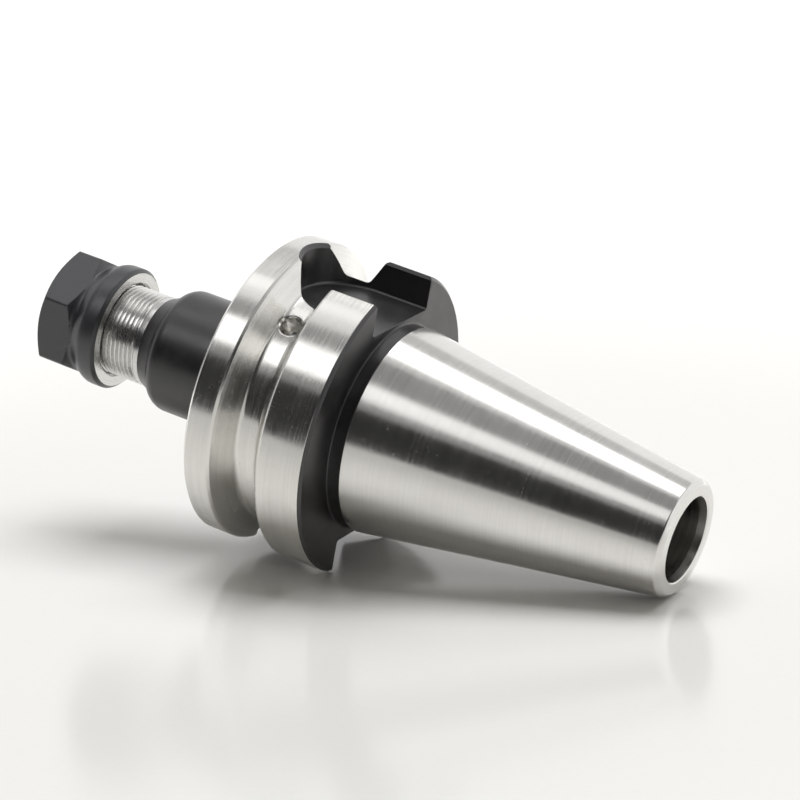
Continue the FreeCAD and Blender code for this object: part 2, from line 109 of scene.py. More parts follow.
SHANK_BORE_R = mounts["shank_bore"]["dims"]["r_mm"]
SLOT_HALF = 8.05
SLOT_FLOOR = (Vector(mounts["drive_slot_upper"]["pos_m"]) - gauge_centre).dot(slot_way) / MM
SLOT_ARC_CENTRE = 10.4
SLOT_CORNER = 0.5
SLOT_CHAMFER = 0.6
BALANCE_R = 1.6
BALANCE_SINK = 0.3
BALANCE_DEPTH = 3.6
BALANCE_ROLL = math.radians(-37)
DRILL_POINT = math.radians(59)

# Collet and nut
COLLET_LENGTH = mounts["tool_clamp"]["dims"]["length_mm"]
COLLET_FRONT = height_of("tool_clamp") + COLLET_LENGTH / 2
COLLET_REAR = COLLET_FRONT - COLLET_LENGTH
COLLET_R = 5.75
COLLET_SLOPE = math.tan(math.radians(8))
COLLET_FACE_R = 4.7
COLLET_GROOVE_R = 4.75
COLLET_SLITS = 6
COLLET_ROLL = math.radians(7.5)
COLLET_SLIT = 0.5
TOOL_BORE_R = mounts["tool_clamp"]["dims"]["r_mm"]
FACE_CONE = math.tan(math.radians(30))
NUT_FRONT = COLLET_FRONT + 0.3
NUT_LENGTH = 10.7
NUT_REAR = NUT_FRONT - NUT_LENGTH
NUT_COLLAR_R = 9.5
NUT_COLLAR_END = NUT_REAR + 3.3
NUT_FLAT_TOP = NUT_REAR + 5.0
NUT_FLAT = 8.5
NUT_CORNER_R = NUT_FLAT / math.cos(math.radians(30))
NUT_ROLL = math.radians(-3.6)
NUT_FACE_R = 8.3
NUT_BORE_R = THREAD_R + 0.05
NUT_OPENING_R = 4.95


# ------------------------------------------------------------ modelling

def soften(corners, steps=5):
    """A section's points and the finish of each face, from corners (radius, height, rounding, finish)."""
    points, finishes = [], []
    for number, (radius, height, rounding, finish) in enumerate(corners):
        here = Vector((radius, height))
        if rounding:
            back = (Vector(corners[number - 1][:2]) - here).normalized()
            on = (Vector(corners[(number + 1) % len(corners)][:2]) - here).normalized()
            half = back.angle(on) / 2
            centre = here + (back + on).normalized() * rounding / math.sin(half)
            first = (here + back * rounding / math.tan(half) - centre).normalized()
            last = (here + on * rounding / math.tan(half) - centre).normalized()
            for step in range(steps + 1):
                points.append(centre + first.slerp(last, step / steps) * rounding)
                finishes.append(finish)
        else:
            points.append(here)
            finishes.append(finish)
    return points, finishes


def solid(name, vertices, faces, finishes, materials, place=Matrix.Identity(4)):
    """A mesh object in the tool frame, from points in millimetres."""
    mesh = bpy.data.meshes.new(name)
    mesh.from_pydata([TOOL_FRAME @ (place @ Vector(vertex) * MM) for vertex in vertices], [], faces)
    for material in materials:
        mesh.materials.append(material)
    mesh.polygons.foreach_set("material_index", finishes)
    shape = bmesh.new()
    shape.from_mesh(mesh)
    bmesh.ops.remove_doubles(shape, verts=shape.verts, dist=1e-7)
    bmesh.ops.recalc_face_normals(shape, faces=shape.faces)
    shape.to_mesh(mesh)
    shape.free()
    piece = bpy.data.objects.new(name, mesh)
    bpy.context.scene.collection.objects.link(piece)
    return piece


def turned(name, corners, materials, segments=384, place=Matrix.Identity(4)):
    """A ring turned about the axis from a closed section."""
    points, finishes = soften(corners)
    count = len(points)
    vertices, faces, indices = [], [], []
    for segment in range(segments):
        angle = FULL_TURN * segment / segments
        vertices += [(r * math.cos(angle), r * math.sin(angle), height) for r, height in points]
        here, beside = segment * count, (segment + 1) % segments * count
        for number in range(count):
            following = (number + 1) % count
            faces.append((here + number, beside + number, beside + following, here + following))
            indices.append(finishes[number])
    return solid(name, vertices, faces, indices, materials, place)


def stacked(name, rings, materials, finish=0):
    """A closed solid from rings of points, one above the other, with a flat cap at each end."""
    count = len(rings[0])
    vertices = [point for ring in rings for point in ring]
    faces = [tuple(range(count)), tuple(range(len(vertices) - count, len(vertices)))]
    for level in range(len(rings) - 1):
        low, high = level * count, (level + 1) * count
        for number in range(count):
            following = (number + 1) % count
            faces.append((low + number, low + following, high + following, high + number))
    return solid(name, vertices, faces, [finish] * len(faces), materials)


def settle(piece):
    """Bakes a piece's modifiers into its mesh."""
    graph = bpy.context.evaluated_depsgraph_get()
    finished = bpy.data.meshes.new_from_object(piece.evaluated_get(graph))
    piece.modifiers.clear()
    piece.data = finished


def carve(piece, operation, cutters):
    for cutter in cutters:
        step = piece.modifiers.new(cutter.name, "BOOLEAN")
        step.solver = "EXACT"
        step.operation = operation
        step.object = cutter
    settle(piece)
    for cutter in cutters:
        bpy.data.objects.remove(cutter)


def break_edges(piece, width):
    """Breaks every sharp edge, as a deburred part has them, and keeps flat faces flat."""
    bevel = piece.modifiers.new("broken_edges", "BEVEL")
    bevel.width = width * MM
    bevel.segments = 2
    bevel.limit_method = "ANGLE"
    bevel.angle_limit = math.radians(29)
    bevel.use_clamp_overlap = False
    piece.data.shade_smooth()
    weigh = piece.modifiers.new("flat_faces", "WEIGHTED_NORMAL")
    weigh.mode = "FACE_AREA"
    weigh.weight = 50
    settle(piece)


def thread_depth(turn_share, flat_share=0.22):
    """How far a 60 degree thread stands out, from 0 at its root to 1 at its crest, along one pitch."""
    rise = (1 - 0.25 - flat_share) / 2
    along = abs(turn_share % 1 - 0.5)
    return min(max((rise + flat_share / 2 - along) / rise, 0), 1)


def threaded(name, plain_end, mouth_end, pitch, root_r, crest_r, wall_r, fade, mouth, material,
             samples=10, segments=256):
    """A ring with a right-hand thread cut into one side and a plain wall on the other.

    The thread runs out into a plain cylinder at plain_end and opens into a chamfer at mouth_end.
    """
    low, high = min(plain_end, mouth_end), max(plain_end, mouth_end)
    first = math.floor(low / pitch) - 1
    rows = (math.ceil(high / pitch) - first) * samples + 1
    columns = segments + 1

    def around(radius, segment, height):
        angle = FULL_TURN * segment / segments
        return (radius * math.cos(angle), radius * math.sin(angle), height)

    def cut(row, segment):
        height = min(max((first + row / samples + segment / segments) * pitch, low), high)
        standing = max(thread_depth(row / samples), 1 - abs(height - plain_end) / fade)
        standing = min(standing, abs(height - mouth_end) / mouth)
        return around(root_r + (crest_r - root_r) * standing, segment, height)

    vertices = [cut(row, segment) for row in range(rows) for segment in range(columns)]
    faces = [(here, here + 1, here + columns + 1, here + columns)
             for row in range(rows - 1) for here in range(row * columns, row * columns + segments)]
    ends = [(crest_r, plain_end), (wall_r, plain_end), (wall_r, mouth_end), (root_r, mouth_end)]
    start = len(vertices)
    vertices += [around(radius, segment, height) for radius, height in ends for segment in range(columns)]
    faces += [(here, here + 1, here + columns + 1, here + columns)
              for level in range(3)
              for here in range(start + level * columns, start + level * columns + segments)]
    ring = solid(name, vertices, faces, [0] * len(faces), [material])
    ring.data.shade_smooth()
    ring.data.set_sharp_from_angle(angle=math.radians(35))
    return ring


def slot_cutter(side, materials, finish):
    """What the end mill and its chamfering pass take from the flange; side is 1 above the axis."""
    arc_steps = 72
    path = [(-SLOT_HALF, -1.0, -1.0, 0.0)]
    for step in range(arc_steps + 1):
        angle = math.pi * (1 - step / arc_steps)
        out = (math.cos(angle), math.sin(angle))
        path.append((SLOT_HALF * out[0], SLOT_ARC_CENTRE + SLOT_HALF * out[1], *out))
    path.append((SLOT_HALF, -1.0, 1.0, 0.0))

    def ring(level):
        points = []
        for y, height, out_y, out_height in path:
            offset, depth = level(math.sqrt(FLANGE_R ** 2 - y ** 2))
            points.append((side * depth, side * (y + out_y * offset), height + out_height * offset))
        return points

    corner = [ring(lambda rim, turn=step / 4 * math.pi / 2: (
        SLOT_CORNER * (math.sin(turn) - 1), SLOT_FLOOR + SLOT_CORNER * (1 - math.cos(turn))))
        for step in range(5)]
    clear = 4.0
    rings = corner + [
        ring(lambda rim: (0.0, rim - SLOT_CHAMFER)),
        ring(lambda rim: (SLOT_CHAMFER + clear, rim + clear)),
        ring(lambda rim: (SLOT_CHAMFER + clear, FLANGE_R + 2 * clear)),
    ]
    return stacked("drive_slot_cut", rings, materials, finish)


def hexagon_cutter(materials, finish):
    """What milling the six flats takes from the turned nut."""
    rounding, steps = 0.55, 6
    inner = []
    for corner in range(6):
        middle = NUT_ROLL + corner * FULL_TURN / 6
        centre_r = NUT_CORNER_R - rounding / math.cos(math.radians(30))
        for step in range(steps + 1):
            angle = middle + math.radians(30) * (2 * step / steps - 1)
            inner.append((centre_r * math.cos(middle) + rounding * math.cos(angle),
                          centre_r * math.sin(middle) + rounding * math.sin(angle)))
    outer = [tuple(Vector(point).normalized() * (NUT_CORNER_R + 2)) for point in inner]
    low, high = NUT_FLAT_TOP - 0.31, NUT_FRONT + 1
    rings = [[(x, y, low) for x, y in inner], [(x, y, high) for x, y in inner],
             [(x, y, high) for x, y in outer], [(x, y, low) for x, y in outer]]
    count = len(inner)
    faces = []
    for level in range(4):
        here, on = level * count, (level + 1) % 4 * count
        faces += [(here + n, here + (n + 1) % count, on + (n + 1) % count, on + n) for n in range(count)]
    vertices = [point for ring in rings for point in ring]
    return solid("flats_cut", vertices, faces, [finish] * len(faces), materials)


def slit_cutter(materials):
    """The saw cuts of the collet, six from each end."""
    vertices, faces = [], []
    for slit in range(2 * COLLET_SLITS):
        from_front = slit % 2 == 0
        low = COLLET_REAR + 2.5 if from_front else COLLET_REAR - 1
        high = COLLET_FRONT + 1 if from_front else COLLET_FRONT - 3.4
        turn = Matrix.Rotation(COLLET_ROLL + slit * math.pi / COLLET_SLITS, 3, "Z")
        start = len(vertices)
        for height in (low, high):
            for x, y in ((2.3, -1), (COLLET_R + 1, -1), (COLLET_R + 1, 1), (2.3, 1)):
                vertices.append(tuple(turn @ Vector((x, y * COLLET_SLIT / 2, height))))
        for face in ((3, 2, 1, 0), (4, 5, 6, 7), (0, 1, 5, 4), (1, 2, 6, 5), (2, 3, 7, 6), (3, 0, 4, 7)):
            faces.append(tuple(start + number for number in face))
    return solid("slits_cut", vertices, faces, [0] * len(faces), materials)


# ------------------------------------------------------------ finishes

class Board:
    """A node tree with short ways to add nodes and join them."""

    def __init__(self, tree):
        self.tree = tree

    def node(self, kind, inputs=None, **settings):
        made = self.tree.nodes.new(kind)
        for key, setting in settings.items():
            setattr(made, key, setting)
        for key, given in (inputs or {}).items():
            self.feed(made.inputs[key], given)
        return made

    def feed(self, socket, given):
        if isinstance(given, bpy.types.NodeSocket):
            self.tree.links.new(given, socket)
        else:
            socket.default_value = given

    def reckon(self, operation, *terms):
        made = self.node("ShaderNodeMath", operation=operation)
        for socket, term in zip(made.inputs, terms):
            self.feed(socket, term)
        return made.outputs[0]

    def vector(self, operation, *terms):
        made = self.node("ShaderNodeVectorMath", operation=operation)
        for socket, term in zip(made.inputs, terms):
            self.feed(socket, term)
        return made.outputs["Value" if operation in ("DOT_PRODUCT", "LENGTH") else "Vector"]

    def span(self, value, low, high, to_low=0.0, to_high=1.0):
        made = self.node("ShaderNodeMapRange", {
            "Value": value, "From Min": low, "From Max": high, "To Min": to_low, "To Max": to_high},
            interpolation_type="SMOOTHSTEP")
        return made.outputs["Result"]

    def mix(self, share, first, second):
        made = self.node("ShaderNodeMix", data_type="RGBA")
        for index, given in ((0, share), (6, first), (7, second)):
            self.feed(made.inputs[index], given)
        return made.outputs[2]

    def noise(self, vector, scale, detail=2.0, roughness=0.5):
        made = self.node("ShaderNodeTexNoise", {
            "Vector": vector, "Scale": scale, "Detail": detail, "Roughness": roughness})
        return made.outputs["Fac"]

    def millimetres(self):
        """The point on the piece in the tool frame, in millimetres."""
        return self.node("ShaderNodeMapping", {
            "Vector": self.node("ShaderNodeTexCoord").outputs["Object"], "Location": tuple(gauge_centre),
            "Rotation": tuple(TOOL_FRAME.to_euler()), "Scale": (MM, MM, MM)}, vector_type="TEXTURE").outputs[0]

    def round_the_axis(self):
        """The direction that turning and grinding marks run in."""
        outwards = self.vector("SUBTRACT", self.node("ShaderNodeNewGeometry").outputs["Position"],
                               tuple(gauge_centre))
        return self.vector("CROSS_PRODUCT", tuple(nose_way), outwards)

    def effect(self, group, **inputs):
        made = self.node("ShaderNodeGroup", node_tree=group)
        for key, given in inputs.items():
            self.feed(made.inputs[key], given)
        return made.outputs


def effect_group(name, inputs, outputs):
    """An empty shader node group with named number inputs and outputs."""
    tree = bpy.data.node_groups.new(name, "ShaderNodeTree")
    for label, default in inputs.items():
        socket = tree.interface.new_socket(label, in_out="INPUT", socket_type="NodeSocketFloat")
        socket.default_value = default
    for label in outputs:
        tree.interface.new_socket(label, in_out="OUTPUT", socket_type="NodeSocketFloat")
    board = Board(tree)
    return board, board.node("NodeGroupInput").outputs, board.node("NodeGroupOutput").inputs


def lathe_marks_group():
    """Fine marks that run round the axis: rings on a turned face, bands on a ground cylinder."""
    board, given, gives = effect_group("lathe_marks", {"Spacing": 0.3, "Drift": 0.05, "Seed": 0.0}, ["Marks"])
    point = board.millimetres()
    flat = board.vector("MULTIPLY", point, (1.0, 1.0, 0.0))
    parts = board.node("ShaderNodeSeparateXYZ", {"Vector": point}).outputs
    outwards = board.reckon("DIVIDE", board.vector("LENGTH", flat), given["Spacing"])
    upwards = board.reckon("DIVIDE", parts["Z"], given["Spacing"])
    ring = board.node("ShaderNodeCombineXYZ", {"X": outwards, "Y": upwards, "Z": given["Seed"]}).outputs[0]
    drift = board.node("ShaderNodeVectorMath", {"Vector": point, "Scale": given["Drift"]}, operation="SCALE")
    place = board.vector("ADD", ring, drift.outputs["Vector"])
    board.feed(gives["Marks"], board.noise(place, 1.0, 3.0, 0.65))
    return board.tree


def handling_group():
    """Uneven patches and specks left by hands, cloths and storage."""
    board, given, gives = effect_group(
        "handling", {"Patch": 6.0, "Speck": 0.5, "Seed": 0.0}, ["Patches", "Specks"])
    point = board.vector("ADD", board.millimetres(), board.node(
        "ShaderNodeCombineXYZ", {"X": given["Seed"], "Y": given["Seed"], "Z": given["Seed"]}).outputs[0])
    patch_scale = board.reckon("DIVIDE", 1.0, given["Patch"])
    speck_scale = board.reckon("DIVIDE", 1.0, given["Speck"])
    board.feed(gives["Patches"], board.noise(point, patch_scale, 4.0, 0.6))
    specks = board.noise(point, speck_scale, 2.0, 0.5)
    board.feed(gives["Specks"], board.span(specks, 0.62, 0.78))
    return board.tree


def edge_wear_group():
    """A mask of worn edges, broken up so that no edge is worn evenly."""
    board, given, gives = effect_group(
        "edge_wear", {"Reach": 0.15, "Breakup": 0.5, "Seed": 0.0}, ["Wear"])
    reach = board.reckon("MULTIPLY", given["Reach"], MM)
    rounded = board.node("ShaderNodeBevel", {"Radius": reach}, samples=6).outputs["Normal"]
    true = board.node("ShaderNodeNewGeometry").outputs["Normal"]
    turned_away = board.reckon("SUBTRACT", 1.0, board.vector("DOT_PRODUCT", rounded, true))
    point = board.vector("ADD", board.millimetres(), board.node(
        "ShaderNodeCombineXYZ", {"X": given["Seed"]}).outputs[0])
    patchy = board.noise(point, 0.9, 4.0, 0.65)
    kept = board.span(patchy, board.reckon("MULTIPLY", given["Breakup"], 0.5), 0.75)
    board.feed(gives["Wear"], board.reckon("MULTIPLY", board.span(turned_away, 0.01, 0.12), kept))
    return board.tree


def finish_board(name, **plain):
    """A material with a Principled shader whose constant sockets are set, and its board."""
    material = bpy.data.materials.new(name)
    material.use_nodes = True
    material.node_tree.nodes.clear()
    board = Board(material.node_tree)
    shader = board.node("ShaderNodeBsdfPrincipled")
    for label, given in plain.items():
        shader.inputs[label.replace("_", " ")].default_value = given
    output = board.node("ShaderNodeOutputMaterial")
    board.feed(output.inputs["Surface"], shader.outputs["BSDF"])
    return material, board, shader.inputs


def steel(name, light, dark, smooth, rough, spacing, mark_height, waviness, seed):
    """Bare steel, turned or ground round the axis."""
    material, board, sockets = finish_board(name, Metallic=1.0, Anisotropic=0.55, Anisotropic_Rotation=0.25)
    board.feed(sockets["Tangent"], board.round_the_axis())
    marks = board.effect(LATHE_MARKS, Spacing=spacing, Seed=seed)["Marks"]
    broad = board.effect(LATHE_MARKS, Spacing=spacing * 9, Drift=0.02, Seed=seed + 7)["Marks"]
    hands = board.effect(HANDLING, Patch=5.0, Speck=0.35, Seed=seed)
    wear = board.effect(EDGE_WEAR, Reach=0.12, Breakup=0.3, Seed=seed)["Wear"]
    tone = board.reckon("ADD", board.reckon("MULTIPLY", marks, 0.6), board.reckon("MULTIPLY", hands["Patches"], 0.4))
    tint = board.mix(board.span(tone, 0.3, 0.7), (*dark, 1), (*light, 1))
    board.feed(sockets["Base Color"], board.mix(wear, tint, (0.86, 0.85, 0.83, 1)))
    dull = board.reckon("ADD", board.reckon("MULTIPLY", marks, 0.5), board.reckon("MULTIPLY", hands["Patches"], 0.5))
    worn = board.reckon("MULTIPLY", hands["Specks"], 0.06)
    board.feed(sockets["Roughness"], board.reckon("ADD", board.span(dull, 0.3, 0.7, smooth, rough), worn))
    fine = board.node("ShaderNodeBump", {"Height": marks, "Strength": 1.0, "Distance": mark_height * MM})
    wavy = board.reckon("ADD", board.reckon("MULTIPLY", hands["Patches"], 1.0), board.reckon("MULTIPLY", broad, 0.4))
    wave = board.node("ShaderNodeBump", {
        "Height": wavy, "Strength": 1.0, "Distance": waviness * MM, "Normal": fine.outputs["Normal"]})
    board.feed(sockets["Normal"], wave.outputs["Normal"])
    return material


def oxide(name, colour, faded, smooth, rough, seed):
    """Satin black oxide over steel, thin where it is rubbed."""
    material, board, sockets = finish_board(name, IOR=1.75)
    marks = board.effect(LATHE_MARKS, Spacing=0.22, Seed=seed)["Marks"]
    hands = board.effect(HANDLING, Patch=4.0, Speck=0.45, Seed=seed)
    wear = board.effect(EDGE_WEAR, Reach=0.16, Breakup=0.75, Seed=seed)["Wear"]
    tone = board.reckon("ADD", board.reckon("MULTIPLY", marks, 0.35), board.reckon("MULTIPLY", hands["Patches"], 0.65))
    tint = board.mix(board.span(tone, 0.35, 0.7), (*colour, 1), (*faded, 1))
    rubbed = board.reckon("MULTIPLY", wear, 0.6)
    board.feed(sockets["Base Color"], board.mix(rubbed, tint, (0.42, 0.42, 0.42, 1)))
    board.feed(sockets["Metallic"], rubbed)
    dull = board.span(tone, 0.3, 0.7, smooth, rough)
    board.feed(sockets["Roughness"], board.reckon("ADD", dull, board.reckon("MULTIPLY", hands["Specks"], 0.1)))
    height = board.reckon("ADD", marks, board.reckon("MULTIPLY", hands["Specks"], 0.6))
    bump = board.node("ShaderNodeBump", {"Height": height, "Strength": 1.0, "Distance": 0.0022 * MM})
    board.feed(sockets["Normal"], bump.outputs["Normal"])
    return material


LATHE_MARKS = lathe_marks_group()
HANDLING = handling_group()
EDGE_WEAR = edge_wear_group()

taper_steel = steel("taper_ground_steel", (0.80, 0.79, 0.765), (0.72, 0.71, 0.68), 0.15, 0.25, 0.2, 0.0018, 0.006, 3.0)
rim_steel = steel("flange_turned_steel", (0.80, 0.79, 0.76), (0.70, 0.69, 0.66), 0.16, 0.28, 0.28, 0.003, 0.006, 11.0)
thread_steel = steel("thread_cut_steel", (0.76, 0.755, 0.74), (0.64, 0.635, 0.62), 0.18, 0.3, 0.12, 0.002, 0.003, 23.0)
# Painted shade: the bores and the pull stud thread get a steel well under half as bright as the outside steel,
# standing in for the shade deep inside them.
shaded_bore_steel = steel("bore_painted_shade_steel", (0.34, 0.335, 0.315), (0.22, 0.215, 0.2), 0.24, 0.4, 0.3, 0.003, 0.004, 41.0)
collet_steel = steel("collet_spring_steel", (0.7, 0.7, 0.7), (0.58, 0.58, 0.59), 0.18, 0.3, 0.15, 0.002, 0.003, 31.0)
holder_oxide = oxide("holder_black_oxide", (0.012, 0.012, 0.0125), (0.022, 0.022, 0.022), 0.27, 0.4, 5.0)
nut_oxide = oxide("nut_black_oxide", (0.022, 0.024, 0.028), (0.036, 0.038, 0.043), 0.3, 0.42, 17.0)

# ------------------------------------------------------------ holder

TAPER, RIM, OXIDE, THREAD, BORE = range(5)
holder_finishes = [taper_steel, rim_steel, holder_oxide, thread_steel, shaded_bore_steel]
edge = 0.25
groove_rear, groove_front = GROOVE_CENTRE - GROOVE_HALF, GROOVE_CENTRE + GROOVE_HALF
holder = turned("holder_steel", [
    (TAIL_R - TAIL_CHAMFER, -TAPER_LENGTH, 0.3, TAPER),
    (TAIL_R, TAIL_CHAMFER - TAPER_LENGTH, 0.45, TAPER),
    (GAUGE_R, -0.25, 0.1, TAPER),
    (NECK_R, -0.05, 0, OXIDE),
    (NECK_R, NECK_LENGTH - 0.1, 0.15, OXIDE),
    (NECK_R + 0.35, NECK_LENGTH, 0.1, OXIDE),
    (FLANGE_R - RIM_CHAMFER, NECK_LENGTH, 0.12, OXIDE),
    (FLANGE_R, NECK_LENGTH + RIM_CHAMFER, 0.12, RIM),
    (FLANGE_R, groove_rear - edge, 0.08, RIM),
    (FLANGE_R - edge, groove_rear + edge * 0.577, 0.08, RIM),
    (GROOVE_ROOT_R, groove_rear + GROOVE_RUN, 0.9, RIM),
    (GROOVE_ROOT_R, groove_front - GROOVE_RUN, 0.9, RIM),
    (FLANGE_R - edge, groove_front - edge * 0.577, 0.08, RIM),
    (FLANGE_R, groove_front + edge, 0.08, RIM),
    (FLANGE_R, FLANGE_FRONT - RIM_CHAMFER, 0.12, RIM),
    (FLANGE_R - RIM_CHAMFER, FLANGE_FRONT, 0.12, OXIDE),
    (NOSE_R, FLANGE_FRONT, 0.4, OXIDE),
    (NOSE_R, SHOULDER_MEET, NOSE_ROUND, OXIDE),
    (SHOULDER_EDGE_R, SHOULDER_EDGE, 0.12, OXIDE),
    (BLACK_END_R, BLACK_END, 0.3, OXIDE),
    (THREAD_R - 0.02, BLACK_END + 0.1, 0, THREAD),
    (THREAD_R - 0.02, THREAD_START, 0, THREAD),
    (THREAD_R - 0.6, THREAD_START, 0, THREAD),
    (THREAD_R - 0.6, NOSE_END - 0.02, 0, THREAD),
    (5.96, NOSE_END - 0.02, 0, THREAD),
    (5.50, NOSE_END - 0.4, 0, THREAD),
    (3.743, COLLET_REAR - 1.5, 0, THREAD),
    (SHANK_BORE_R, COLLET_REAR - 1.5, 0, BORE),
    (SHANK_BORE_R, STUD_DEPTH - TAPER_LENGTH + 0.93, 0, BORE),
    (STUD_CORE_R, STUD_DEPTH - TAPER_LENGTH, 0, BORE),
    (STUD_CORE_R, STUD_DEPTH - TAPER_LENGTH - 4, 0, BORE),
    (STUD_THREAD_R + 0.1, STUD_DEPTH - TAPER_LENGTH - 4, 0, BORE),
    (STUD_THREAD_R + 0.1, PILOT_DEPTH - TAPER_LENGTH + 0.15, 0, BORE),
    (PILOT_R, PILOT_DEPTH - TAPER_LENGTH, 0, BORE),
    (PILOT_R, 1.3 - TAPER_LENGTH, 0.3, BORE),
    (PILOT_R + 0.25, 0.15 - TAPER_LENGTH, 0.05, TAPER),
    (PILOT_R + 0.4, -TAPER_LENGTH, 0.05, TAPER),
], holder_finishes)
balance_hole = turned("balance_hole_cut", [
    (0, FLANGE_R, 0, RIM),
    (BALANCE_R + BALANCE_SINK, FLANGE_R, 0, RIM),
    (BALANCE_R + BALANCE_SINK, GROOVE_ROOT_R, 0, RIM),
    (BALANCE_R, GROOVE_ROOT_R - BALANCE_SINK, 0, RIM),
    (BALANCE_R, GROOVE_ROOT_R - BALANCE_DEPTH, 0, RIM),
    (0, GROOVE_ROOT_R - BALANCE_DEPTH - BALANCE_R / math.tan(DRILL_POINT), 0, RIM),
], holder_finishes, 96, Matrix.Translation((0, 0, GROOVE_CENTRE))
    @ Matrix.Rotation(BALANCE_ROLL, 4, "Z") @ Matrix.Rotation(math.pi / 2, 4, "Y"))
carve(holder, "DIFFERENCE", [slot_cutter(1, holder_finishes, OXIDE), slot_cutter(-1, holder_finishes, OXIDE),
                             balance_hole])
break_edges(holder, 0.06)
nose_thread = threaded("nose_thread", THREAD_START, NOSE_END, THREAD_PITCH, THREAD_R - 0.44, THREAD_R,
                       THREAD_R - 0.7, 0.6, 0.5, thread_steel)
stud_thread = threaded("stud_thread", STUD_DEPTH - TAPER_LENGTH - 4, PILOT_DEPTH - TAPER_LENGTH + 0.15, STUD_PITCH,
                       STUD_THREAD_R, STUD_CORE_R, STUD_THREAD_R + 0.2, 1.5, 0.9, shaded_bore_steel)

# ------------------------------------------------------------ nut and collet

NUT_BLACK, NUT_BRIGHT = range(2)
nut_finishes = [nut_oxide, thread_steel]
face_cone = (COLLET_R - COLLET_FACE_R) / FACE_CONE
groove_top = COLLET_FRONT - face_cone - 0.8
groove_base = groove_top - 1.5
recess_r = COLLET_R + 0.15
nut = turned("nut_shell", [
    (NUT_BORE_R + 0.45, NUT_REAR, 0.08, NUT_BRIGHT),
    (NUT_COLLAR_R - 0.5, NUT_REAR, 0.1, NUT_BLACK),
    (NUT_COLLAR_R, NUT_REAR + 0.5, 0.3, NUT_BLACK),
    (NUT_COLLAR_R, NUT_COLLAR_END - 0.5, 2.2, NUT_BLACK),
    (NUT_FLAT - 0.3, NUT_FLAT_TOP - 0.05, 0.7, NUT_BLACK),
    (NUT_CORNER_R, NUT_FLAT_TOP + 0.85, 0, NUT_BLACK),
    (NUT_CORNER_R, NUT_FRONT - (NUT_CORNER_R - NUT_FACE_R) * FACE_CONE, 0.1, NUT_BLACK),
    (NUT_FACE_R, NUT_FRONT, 0.15, NUT_BLACK),
    (NUT_OPENING_R + 0.35, NUT_FRONT, 0.1, NUT_BRIGHT),
    (NUT_OPENING_R, NUT_FRONT - 0.35, 0, NUT_BRIGHT),
    (NUT_OPENING_R, COLLET_FRONT - (NUT_OPENING_R - 0.12 - COLLET_FACE_R) / FACE_CONE, 0, NUT_BRIGHT),
    (recess_r, COLLET_FRONT - (recess_r - 0.12 - COLLET_FACE_R) / FACE_CONE, 0, NUT_BRIGHT),
    (recess_r, groove_top - 0.1, 0, NUT_BRIGHT),
    (5.4, groove_top - 0.1, 0, NUT_BRIGHT),
    (5.4, groove_base + 0.1, 0, NUT_BRIGHT),
    (NUT_BORE_R, groove_base + 0.1, 0, NUT_BLACK),
    (NUT_BORE_R, NUT_REAR + 0.45, 0, NUT_BRIGHT),
], nut_finishes)
carve(nut, "DIFFERENCE", [hexagon_cutter(nut_finishes, NUT_BLACK)])
break_edges(nut, 0.07)

collet = turned("collet_spring", [
    (COLLET_R - (groove_base - 0.6 - COLLET_REAR) * COLLET_SLOPE, COLLET_REAR, 0.2, 0),
    (COLLET_R, groove_base - 0.6, 0.05, 0),
    (COLLET_R, groove_base, 0, 0),
    (COLLET_GROOVE_R, groove_base, 0.1, 0),
    (COLLET_GROOVE_R, groove_top, 0.1, 0),
    (COLLET_R, groove_top, 0, 0),
    (COLLET_R, COLLET_FRONT - face_cone, 0.05, 0),
    (COLLET_FACE_R, COLLET_FRONT, 0.06, 0),
    (TOOL_BORE_R + 0.3, COLLET_FRONT, 0.05, 0),
    (TOOL_BORE_R, COLLET_FRONT - 0.3, 0, 0),
    (TOOL_BORE_R, COLLET_REAR, 0.1, 0),
], [collet_steel], 192)
carve(collet, "DIFFERENCE", [slit_cutter([collet_steel])])
break_edges(collet, 0.04)

for piece, body, slot in ((holder, "holder", "ground_steel"), (nose_thread, "holder", "ground_steel"),
                          (stud_thread, "holder", "ground_steel"), (nut, "nut", "black_oxide"),
                          (collet, "collet", "collet_steel")):
    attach(piece, body)
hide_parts("holder_body")
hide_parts("clamping_nut")
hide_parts("spring_collet")

# ------------------------------------------------------------ studio

def background_rays(board):
    """One for rays that should meet a white background: straight, mirrored or refracted."""
    path = board.node("ShaderNodeLightPath").outputs
    seen = board.reckon("MAXIMUM", path["Is Camera Ray"], path["Is Glossy Ray"])
    return board.reckon("MAXIMUM", seen, path["Is Transmission Ray"])


